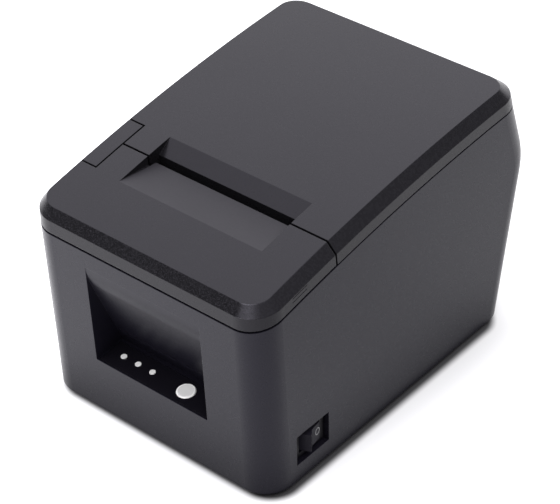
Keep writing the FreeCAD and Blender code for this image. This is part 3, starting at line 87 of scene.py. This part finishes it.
class Surface(NodeTree):
    """A principled material."""

    # Middle of a noise's range, where most of its values lie
    NOISE_MIDDLE = (0.3, 0.7)
    # Sockets of a mix node that mixes colours, by number because their names repeat
    MIX_FACTOR, MIX_FIRST, MIX_SECOND, MIX_RESULT = 0, 6, 7, 2
    EDGE_SAMPLES = 6

    def __init__(self, name, colour, roughness, **settings):
        self.material = bpy.data.materials.new(name)
        self.material.use_nodes = True
        super().__init__(self.material.node_tree, "Object")
        self.shader = self.tree.nodes["Principled BSDF"]
        self.set("Base Color", (*colour, 1))
        self.set("Roughness", roughness)
        for socket, value in settings.items():
            self.set(socket.replace("_", " "), value)

    def set(self, socket, value):
        self.feed(self.shader.inputs[socket], value)

    def height(self):
        return self.part_of(self.place, "Z")

    def facing(self, axis):
        """How far the surface faces along an axis, from -1 to 1."""
        return self.part_of(self.node("ShaderNodeNewGeometry").outputs["Normal"], axis)

    def noise(self, size, detail=2.0, place=None):
        """Noise whose lumps are about size metres across."""
        where = self.place if place is None else place
        inputs = {"Vector": where, "Scale": 1 / size, "Detail": detail}
        return self.node("ShaderNodeTexNoise", inputs).outputs["Fac"]

    def swing(self, noise, middle, reach):
        """Lets a noise carry a value to either side of its middle."""
        low, high = self.NOISE_MIDDLE
        inputs = {"Value": noise, "From Min": low, "From Max": high,
                  "To Min": middle - reach, "To Max": middle + reach}
        return self.node("ShaderNodeMapRange", inputs).outputs["Result"]

    def mix(self, fac, first, second):
        """Goes from the first colour to the second."""
        made = self.node("ShaderNodeMix", data_type="RGBA")
        self.feed(made.inputs[self.MIX_FACTOR], fac)
        self.feed(made.inputs[self.MIX_FIRST], (*first, 1))
        self.feed(made.inputs[self.MIX_SECOND], (*second, 1))
        return made.outputs[self.MIX_RESULT]

    def relief(self, height, depth, normal):
        """Bump of depth metres over a normal."""
        inputs = {"Height": height, "Distance": depth, "Strength": 1.0, "Normal": normal}
        return self.node("ShaderNodeBump", inputs).outputs["Normal"]

    def soft_edges(self, radius):
        made = self.node("ShaderNodeBevel", {"Radius": radius}, samples=self.EDGE_SAMPLES)
        return made.outputs["Normal"]

    def away_from(self, centre, half, round_off):
        """Distance on the ground from a rounded rectangle."""
        folded = self.vector_math("ABSOLUTE", self.vector_math("SUBTRACT", self.place, centre))
        # A metre tall, so that height doesn't count
        inner = (half[0] - round_off, half[1] - round_off, 1)
        past = self.vector_math("SUBTRACT", folded, inner)
        outside = self.vector_math("MAXIMUM", past, (0, 0, 0))
        return self.math("SUBTRACT", self.vector_math("LENGTH", outside), round_off)


# Colours and shine. The mouldings are dark, with a faint blue cast, under a strong white light.

CHARCOAL = (0.0052, 0.0050, 0.0057)
BODY = (0.0045, 0.0042, 0.0066)
BLACK = (0.0025, 0.0023, 0.0033)
BOARD_GREEN = (0.012, 0.075, 0.03)
BOARD_PATCH = (0.016, 0.1, 0.04)
BOARD_TRACK = (0.03, 0.15, 0.06)
SHEEN = {"Specular_IOR_Level": 0.168, "Specular_Tint": (0.91, 0.887, 1.0, 1.0)}
BODY_SHEEN = {"Specular_IOR_Level": 0.168, "Specular_Tint": (0.866, 0.845, 1.0, 1.0)}
DULL = {"Specular_IOR_Level": 0.1}
# Lower case: heights between which its shine rises, and the shine at each; the lower shine near the ground is
# painted shade
BODY_FADE = (0.0, 50 * MM)
BODY_LEVELS = (0.14, 0.168)
# Niche: shine as the front turns to face down, gain where it leans over most, and fade towards the bottom,
# all painted shade and reflection of the niche
RECESS_TURN = (-0.2, -0.04)
RECESS_SHEEN = (0.09, 0.166)
RECESS_LEAN = (-0.375, -0.25)
RECESS_GAIN = (1.37, 1.0)
RECESS_FADE = (45 * MM, 66 * MM)
RECESS_DEEP = (0.2, 1.0)
# Front right corner of the bevel: a painted highlight, shine rising as it leaves the front, then falling
# towards the side
CORNER_RISE = (0.06, 0.18)
CORNER_SHEEN = (0.3, 0.85)
CORNER_FALL = (0.25, 0.62)
CORNER_FADE = (1.0, 0.2)
# Light flecks in the grain of the front bevel
FLECK_SIZE = 0.5 * MM
FLECK_EDGE = (0.5, 0.7)
FLECK_SHADES = (0.8, 3.4)
# Cloudy variation of a moulding's colour, and of its roughness over patches of a few grains
CLOUD_SIZE = 30 * MM
CLOUD_SHADES = (0.85, 1.15)
ROUGHNESS_GRAINS = 3
ROUGHNESS_REACH = 0.04
# Patches and streaks of metal
PATCH_SIZE = 10 * MM
PATCH_SHADES = (0.9, 1.05)
STREAK_WIDTH = 0.6 * MM
STREAK_STRETCH = (0.06, 1, 1)
STREAK_DEPTH = 0.005 * MM
STREAK_REACH = 0.08
METAL_EDGE = 0.15 * MM
# Scale of the pattern of a board's tracks
TRACK_SCALE = 220.0


def grey(level, tint=0.0):
    return (level, level, level * (1 + tint))


def shade(colour, factor):
    return tuple(channel * factor for channel in colour)


def shades(colour, factors):
    return [shade(colour, factor) for factor in factors]


# Materials


def moulded_plastic(name, colour, roughness, grain=0.4 * MM, depth=0.01 * MM, edge=0.3 * MM, **settings):
    """Spark-eroded plastic: fine grain, faint cloudy variation and softened edges."""
    surface = Surface(name, colour, roughness, **settings)
    cloud = surface.noise(CLOUD_SIZE, detail=3)
    surface.set("Base Color", surface.mix(cloud, *shades(colour, CLOUD_SHADES)))
    uneven = surface.noise(grain * ROUGHNESS_GRAINS)
    surface.set("Roughness", surface.swing(uneven, roughness, ROUGHNESS_REACH))
    surface.set("Normal", surface.relief(surface.noise(grain, detail=3), depth, surface.soft_edges(edge)))
    return surface


def body_plastic(name):
    """The plastic of the lower case, a little less shiny towards the ground, which paints shade near the
    ground.
    """
    surface = moulded_plastic(name, BODY, 0.3, **BODY_SHEEN)
    surface.set("Specular IOR Level", surface.ramp(surface.height(), *BODY_FADE, *BODY_LEVELS))
    return surface


def recess_plastic(name):
    """A lighter copy of the lower case's plastic, with its shine shaped as painted shade and reflection: less
    where it turns into the niche and least at its bottom.
    """
    surface = moulded_plastic(name, shade(BODY, 1.25), 0.36, depth=0.003 * MM, **BODY_SHEEN)
    facing = surface.facing("Z")
    turned = surface.ramp(facing, *RECESS_TURN, *RECESS_SHEEN)
    leaning = surface.ramp(facing, *RECESS_LEAN, *RECESS_GAIN)
    deep_shade = surface.ramp(surface.height(), *RECESS_FADE, *RECESS_DEEP)
    surface.set("Specular IOR Level", surface.times(surface.times(turned, leaning), deep_shade))
    return surface


def flecked_plastic(name):
    """The covers' plastic with the coarse light grain of the front bevel."""
    surface = moulded_plastic(name, CHARCOAL, 0.26, grain=0.6 * MM, depth=0.08 * MM, **SHEEN)
    fleck = surface.ramp(surface.noise(FLECK_SIZE, detail=1), *FLECK_EDGE, 0.0, 1.0)
    surface.set("Base Color", surface.mix(fleck, *shades(CHARCOAL, FLECK_SHADES)))
    return surface


def corner_plastic(name):
    """The covers' plastic at the bevel's front right corner, shinier where it leaves the front: a painted
    highlight.
    """
    surface = moulded_plastic(name, CHARCOAL, 0.27, edge=0.7 * MM, **SHEEN)
    facing = surface.facing("X")
    rise = surface.ramp(facing, *CORNER_RISE, *CORNER_SHEEN)
    fall = surface.ramp(facing, *CORNER_FALL, *CORNER_FADE)
    surface.set("Specular IOR Level", surface.times(rise, fall))
    return surface


def metal(name, colour, roughness):
    """Sheet or turned metal with faint streaks along x."""
    surface = Surface(name, colour, roughness, Metallic=1.0)
    stretch = surface.node("ShaderNodeMapping", {"Vector": surface.place, "Scale": STREAK_STRETCH})
    streaks = surface.noise(STREAK_WIDTH, detail=3, place=stretch.outputs["Vector"])
    surface.set("Roughness", surface.swing(streaks, roughness, STREAK_REACH))
    surface.set("Base Color", surface.mix(surface.noise(PATCH_SIZE), *shades(colour, PATCH_SHADES)))
    surface.set("Normal", surface.relief(streaks, STREAK_DEPTH, surface.soft_edges(METAL_EDGE)))
    return surface


def circuit_board(name):
    """Green solder mask over faint tracks."""
    surface = Surface(name, BOARD_GREEN, 0.35, Coat_Weight=0.3)
    tracks = surface.node("ShaderNodeTexBrick", {
        "Vector": surface.place,
        "Scale": TRACK_SCALE,
        "Color1": (*BOARD_GREEN, 1),
        "Color2": (*BOARD_PATCH, 1),
        "Mortar": (*BOARD_TRACK, 1),
    })
    surface.set("Base Color", tracks.outputs["Color"])
    return surface


FINE_EDGE = 0.2 * MM
SHARP_EDGE = 0.1 * MM
# Each with its name, colour and roughness, then what differs from the usual grain, depth and edge
looks = {
    "case": moulded_plastic("case_plastic", CHARCOAL, 0.3, **SHEEN),
    "bevel": moulded_plastic("bevel_plastic", CHARCOAL, 0.27, grain=0.6 * MM, depth=0.02 * MM, **SHEEN),
    "fleck": flecked_plastic("fleck_plastic"),
    "corner": corner_plastic("corner_plastic"),
    # The exit's ramp is a lighter copy of the covers' plastic: painted light on the ramp
    "ramp": moulded_plastic("ramp_plastic", shade(CHARCOAL, 3.9), 0.45, depth=0.006 * MM,
                            Specular_IOR_Level=0.09),
    "body": body_plastic("body_plastic"),
    "recess": recess_plastic("recess_plastic"),
    "inner": moulded_plastic("inner_plastic", shade(BLACK, 4.0), 0.45, **DULL),
    "black": moulded_plastic("black_plastic", BLACK, 0.38, grain=0.3 * MM, edge=FINE_EDGE, **DULL),
    "panel": moulded_plastic("panel_plastic", shade(BLACK, 1.9), 0.22, grain=0.6 * MM, depth=0.004 * MM,
                             edge=FINE_EDGE, **DULL),
    "rocker": moulded_plastic("rocker_plastic", shade(BLACK, 3.2), 0.38, grain=0.3 * MM, edge=FINE_EDGE,
                              Specular_IOR_Level=0.068),
    "pale": moulded_plastic("pale_plastic", grey(0.62, -0.04), 0.32, depth=0.006 * MM, edge=FINE_EDGE),
    # The feed button's rim is a lighter copy of its pale plastic: painted light on the rim
    "rim": moulded_plastic("rim_plastic", grey(0.8, -0.04), 0.32, depth=0.006 * MM, edge=FINE_EDGE),
    "lens": moulded_plastic("lens_plastic", grey(0.72, -0.04), 0.25, depth=0.004 * MM, edge=FINE_EDGE),
    "mark": moulded_plastic("mark_paint", grey(0.14), 0.4, grain=0.2 * MM, depth=0.004 * MM,
                            edge=SHARP_EDGE),
    "rubber": moulded_plastic("rubber", grey(0.008), 0.75, grain=0.5 * MM, depth=0.04 * MM,
                              edge=FINE_EDGE, **DULL),
    "gear": moulded_plastic("gear_plastic", (0.27, 0.262, 0.24), 0.4, edge=SHARP_EDGE),
    "ceramic": moulded_plastic("head_ceramic", (0.03, 0.025, 0.021), 0.15, grain=0.5 * MM,
                               depth=0.002 * MM, edge=SHARP_EDGE),
    "sheet": metal("sheet_steel", (0.235, 0.24, 0.248), 0.38),
    "steel": metal("bright_steel", (0.28, 0.28, 0.28), 0.24),
    "alloy": metal("alloy", (0.29, 0.294, 0.298), 0.42),
    "board": circuit_board("solder_mask"),
}
LOOK_OF_SLOT = {
    "charcoal_plastic": "case",
    "black_plastic": "black",
    "panel_black": "panel",
    "pale_plastic": "pale",
    "soft_rubber": "rubber",
    "sheet_steel": "sheet",
    "bright_steel": "steel",
    "alloy": "alloy",
    "gear_plastic": "gear",
    "board_green": "board",
    "head_ceramic": "ceramic",
    "socket_black": "black",
}
LOOK_OF_NODE = {
    "main_case": "body",
    "paper_bucket": "inner",
    "power_rocker": "rocker",
    "error_lens": "lens",
    "paper_lens": "lens",
    "power_lens": "lens",
}


def dress_nodes():
    """Gives every CAD node its own look, or that of its material slot."""
    for part in frame["record"]["subparts"]:
        look = LOOK_OF_NODE.get(part["node"], LOOK_OF_SLOT[part["material_slot"]])
        materials = nodes[part["node"]].data.materials
        materials.clear()
        materials.append(looks[look].material)


def paint_faces(node, look, chosen):
    """Puts one more look on the faces of a node that chosen(centre, normal) picks."""
    mesh = nodes[node].data
    mesh.materials.append(looks[look].material)
    for face in mesh.polygons:
        if chosen(face.center, face.normal):
            face.material_index = len(mesh.materials) - 1


# Places on the nodes that have a look of their own. UP, AHEAD, BACK and RIGHT are limits on how far
# a face looks along +z, -y, +y and +x, from -1 to 1.

# Rectangle inside the covers' bevel, except beyond the limits where its rounded corners reach in
TOP_HALF_WIDTH = 64 * MM
TOP_DEPTHS = (-97 * MM, 83 * MM)
TOP_CORNER_HALF_WIDTH = 58 * MM
TOP_CORNER_DEPTHS = (-90 * MM, 75 * MM)
BEVEL_UP = (0.3, 0.85)
FRONT_BEVEL_AHEAD = 0.7
FRONT_CORNER_RIGHT = 0.05
FRONT_CORNER_AHEAD = 0.1
# Niche, and the front that it is let into
NICHE_HALF_WIDTH = 36 * MM
NICHE_DEPTHS = (-102.1 * MM, -75 * MM)
NICHE_HEIGHTS = (33 * MM, 90 * MM)
FRONT_AHEAD = 0.99
FRONT_UP = -0.06
# Ramp of the paper exit
EXIT_MIDDLE = 2.25 * MM
EXIT_HALF_WIDTH = 39 * MM
RAMP_DEPTHS = (-72 * MM, -46 * MM)
RAMP_BACK = 0.03
RAMP_UP = 0.9
# Feed button: middle of its top, reach of its dish, and the least height of its rim
FEED_CENTRE = Vector((14.3, -91.37, 34.7)) * MM
FEED_DISH = 3.85 * MM
RIM_HEIGHT = 33.5 * MM
RIM_UP = 0.5


def within(value, limits):
    return limits[0] < value < limits[1]


def on_bevel(centre, normal):
    """The sloping strip between the covers' band and their top, all round."""
    inside = abs(centre.x) < TOP_HALF_WIDTH and within(centre.y, TOP_DEPTHS)
    corner = abs(centre.x) > TOP_CORNER_HALF_WIDTH and not within(centre.y, TOP_CORNER_DEPTHS)
    return within(normal.z, BEVEL_UP) and (corner or not inside)


def on_front_bevel(centre, normal):
    return on_bevel(centre, normal) and -normal.y > FRONT_BEVEL_AHEAD


def on_front_corner(centre, normal):
    """The bevel where it turns from the front to the right side."""
    turning = normal.x > FRONT_CORNER_RIGHT and -normal.y > FRONT_CORNER_AHEAD
    return turning and on_bevel(centre, normal)


def in_niche(centre, normal):
    """The walls and the ledge of the niche and the bend above it, but not the front round it."""
    on_front = -normal.y > FRONT_AHEAD and normal.z > FRONT_UP
    across = abs(centre.x) < NICHE_HALF_WIDTH
    return across and within(centre.y, NICHE_DEPTHS) and within(centre.z, NICHE_HEIGHTS) and not on_front


def on_ramp(centre, normal):
    """The ramp of the paper exit, which the paper slides over."""
    across = abs(centre.x - EXIT_MIDDLE) < EXIT_HALF_WIDTH
    return across and within(centre.y, RAMP_DEPTHS) and normal.y > RAMP_BACK and normal.z > RAMP_UP


def on_rim(centre, normal):
    """The raised rim of the feed button."""
    outer = (centre - FEED_CENTRE).length > FEED_DISH
    return outer and centre.z > RIM_HEIGHT and normal.z > RIM_UP


dress_nodes()
paint_faces("feed_button", "rim", on_rim)
paint_faces("main_case", "recess", in_niche)
for cover in ("front_cover", "paper_lid", "release_button"):
    paint_faces(cover, "bevel", on_bevel)
paint_faces("front_cover", "fleck", on_front_bevel)
paint_faces("front_cover", "corner", on_front_corner)
paint_faces("front_cover", "ramp", on_ramp)


# Mark on the rocker

RING_CENTRE = Vector((69.03, -62.82, 20.5)) * MM
RING_ALONG = Vector((-0.9, 6.2, 0)).normalized()
RING_UP = Vector((0, 0, 1))
RING_OUTWARD = Vector((6.2, 0.9, 0)).normalized()
RING_HALF_WIDTH = 1.6 * MM
RING_HALF_HEIGHT = 1.8 * MM
RING_LINE = 0.5 * MM
RING_RISE = 0.06 * MM
RING_STEPS = 48
# Section of the ring: shares of its line and of its rise
RING_SECTION = ((-0.5, -1), (-0.5, 0.6), (-0.25, 1), (0.25, 1), (0.5, 0.6), (0.5, -1))


def ring_point(turn, across, up):
    """A point of the ring at a turn, at shares of its line and of its rise."""
    wide = across * RING_LINE
    flat = (RING_ALONG * (RING_HALF_WIDTH + wide) * math.cos(turn)
            + RING_UP * (RING_HALF_HEIGHT + wide) * math.sin(turn))
    return RING_CENTRE + flat + RING_OUTWARD * up * RING_RISE


def ring_mark():
    """The pale raised ring on the rear half of the rocker."""
    shape = bmesh.new()
    turns = [2 * math.pi * step / RING_STEPS for step in range(RING_STEPS)]
    rows = [[shape.verts.new(ring_point(turn, *spot)) for spot in RING_SECTION] for turn in turns]
    for row, after in zip(rows, rows[1:] + rows[:1]):
        for k in range(len(RING_SECTION)):
            n = (k + 1) % len(RING_SECTION)
            shape.faces.new((row[k], after[k], after[n], row[n]))
    bmesh.ops.recalc_face_normals(shape, faces=shape.faces)
    mesh = bpy.data.meshes.new("rocker_ring")
    shape.to_mesh(mesh)
    shape.free()
    mesh.materials.append(looks["mark"].material)
    piece = bpy.data.objects.new("rocker_ring", mesh)
    bpy.context.collection.objects.link(piece)
    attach(piece, "rocker")


ring_mark()


# Studio

# Tent: sine of the height where it turns white, and its brightness below and above
TENT_EDGE = (0.5, 0.62)
TENT_LEVELS = (0.37, 3.25)
# White backdrop behind the printer as the camera sees it
BACKDROP_WAY = (-0.656, 0.755, 0)
BACKDROP_EDGE = (0.35, 0.7)
BACKDROP_LEVELS = (0.0, 2.25)
# Light table: reach in metres, colours in the light and in the shadow, and its roughness
TABLE_REACH = 6.0
TABLE_WHITE = (0.426, 0.43, 0.412)
TABLE_DARK = grey(0.02)
TABLE_ROUGHNESS = 0.9
# Glow of the table, falling off from the front left to the rear right: a painted pool of light in front and
# painted shade to the rear right
GLOW_SLOPE = (0.66, 0.75, 0)
GLOW_REACH = (-0.2, 0.15)
GLOW_LEVELS = (1.42, 0.4)
# Contact shadow: the printer's outline on the table, shifted to the right
SHADOW_CENTRE = (2.2 * MM, -8.45 * MM, 0)
SHADOW_HALF = (70.5 * MM, 89.25 * MM)
SHADOW_ROUND = 15 * MM
SHADOW_FADE = (-1.5 * MM, 3.6 * MM)
# The glow is dimmer close to the printer: painted shade where the printer keeps light off the table
DIM_FADE = (0.0, 30 * MM)
DIM_LEVELS = (0.45, 1.0)
# Cool white of the lamps
COOL_WHITE = (1.012, 1.0, 1.055, 1.0)


def floor():
    """A white light table with a painted pool of light in front of the printer, painted shade close to it and
    a narrow painted contact shadow.
    """
    mesh = bpy.data.meshes.new("floor")
    corners = [(across * TABLE_REACH, along * TABLE_REACH, 0)
               for across, along in ((-1, -1), (1, -1), (1, 1), (-1, 1))]
    mesh.from_pydata(corners, [], [(0, 1, 2, 3)])
    piece = bpy.data.objects.new("floor", mesh)
    bpy.context.collection.objects.link(piece)
    surface = Surface("floor_acrylic", TABLE_WHITE, TABLE_ROUGHNESS)
    shadow = surface.away_from(SHADOW_CENTRE, SHADOW_HALF, SHADOW_ROUND)
    lit = surface.ramp(shadow, *SHADOW_FADE, 0.0, 1.0)
    slope = surface.vector_math("DOT_PRODUCT", surface.place, GLOW_SLOPE)
    glow = surface.ramp(slope, *GLOW_REACH, *GLOW_LEVELS)
    dim = surface.ramp(shadow, *DIM_FADE, *DIM_LEVELS)
    surface.set("Base Color", surface.mix(lit, TABLE_DARK, TABLE_WHITE))
    surface.set("Emission Color", COOL_WHITE)
    surface.set("Emission Strength", surface.times(surface.times(glow, dim), lit))
    mesh.materials.append(surface.material)


def sky():
    """A light tent: white overhead and behind the printer, dark low down on the other sides."""
    world = bpy.data.worlds.new("tent")
    bpy.context.scene.world = world
    world.use_nodes = True
    tent = NodeTree(world.node_tree, "Generated")
    overhead = tent.ramp(tent.part_of(tent.place, "Z"), *TENT_EDGE, *TENT_LEVELS)
    facing = tent.vector_math("DOT_PRODUCT", tent.place, BACKDROP_WAY)
    behind = tent.ramp(facing, *BACKDROP_EDGE, *BACKDROP_LEVELS)
    background = tent.tree.nodes["Background"]
    tent.feed(background.inputs["Color"], COOL_WHITE)
    tent.feed(background.inputs["Strength"], tent.math("MAXIMUM", overhead, behind))


# Camera that took the photograph: its lens in the photograph's pixels, where it stands and what it aims at
PHOTO_WIDTH = 560
FOCAL_PIXELS = 2150.0
AZIMUTH = math.radians(40.804)
ELEVATION = math.radians(36.9)
ROLL = math.radians(-1.364)
AIM = Vector((0.0005, -0.00742, 0.0665))
AIM_SHIFT_RIGHT = 0.00055
AIM_SHIFT_UP = -0.00601
DISTANCE = 1.03126


def camera():
    level = math.cos(ELEVATION)
    back = Vector((math.sin(AZIMUTH) * level, -math.cos(AZIMUTH) * level, math.sin(ELEVATION)))
    flat_right = Vector((0, 0, 1)).cross(back).normalized()
    flat_up = back.cross(flat_right)
    right = math.cos(ROLL) * flat_right + math.sin(ROLL) * flat_up
    up = math.cos(ROLL) * flat_up - math.sin(ROLL) * flat_right
    data = bpy.data.cameras.new("camera")
    data.sensor_fit = "HORIZONTAL"
    data.lens = data.sensor_width * FOCAL_PIXELS / PHOTO_WIDTH
    eye = bpy.data.objects.new("camera", data)
    bpy.context.collection.objects.link(eye)
    place = AIM + AIM_SHIFT_RIGHT * right + AIM_SHIFT_UP * up + DISTANCE * back
    turn = Matrix((right, up, back)).transposed().to_4x4()
    eye.matrix_world = Matrix.Translation(place) @ turn
    bpy.context.scene.camera = eye


floor()
sky()
camera()
bpy.context.scene.view_settings.view_transform = "Standard"
